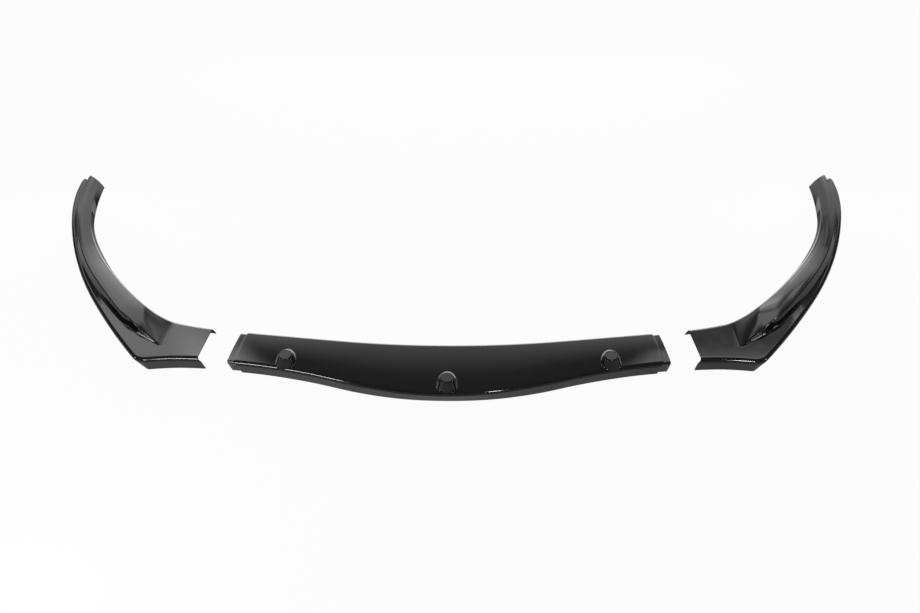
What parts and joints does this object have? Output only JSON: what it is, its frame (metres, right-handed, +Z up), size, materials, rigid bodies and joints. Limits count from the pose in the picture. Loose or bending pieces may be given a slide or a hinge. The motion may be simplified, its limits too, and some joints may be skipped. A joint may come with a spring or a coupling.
{
  "type": "front splitter lip",
  "caption": "Front splitter lip for a car bumper: a centre section with raised towers and tabs, and two swept side wings, laid out pulled apart.",
  "frame": {"origin": "middle of the box that the three pieces lie in, on the floor that their lower edges rest on", "axes": "+X across the car to the right seen from the front, +Y towards the rear of the car, +Z up"},
  "size_m": [1.9272, 0.7255, 0.1094],
  "materials": {
    "gloss_black_abs": "polished gloss black, moulded"
  },
  "bodies": {
    "root": {"centre_section": "gloss_black_abs", "left_wing": "gloss_black_abs", "right_wing": "gloss_black_abs"}
  },
  "joints": []
}
